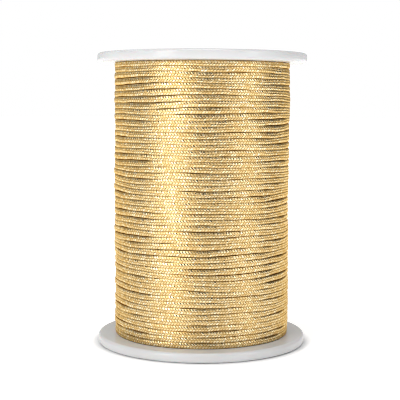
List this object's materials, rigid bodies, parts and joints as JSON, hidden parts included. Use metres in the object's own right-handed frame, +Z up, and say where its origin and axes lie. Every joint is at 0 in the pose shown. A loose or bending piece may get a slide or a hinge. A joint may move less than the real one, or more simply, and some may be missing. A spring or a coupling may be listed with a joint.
{
  "type": "reel of gold satin cord",
  "caption": "White plastic reel with round end flanges and a spindle bore, filled with level-wound braided gold satin cord; stands on its lower flange.",
  "frame": {"origin": "middle of the reel's underside, where it stands", "axes": "+Z up along the reel's axis, from the lower flange to the upper one; the picture looks along +Y"},
  "size_m": [0.076, 0.076, 0.1056],
  "materials": {
    "white_plastic": "white moulded plastic, satin gloss",
    "gold_cord": "braided gold cord with a metallic satin sheen"
  },
  "bodies": {
    "root": {"reel": "white_plastic", "cord_winding": "gold_cord"}
  },
  "joints": []
}
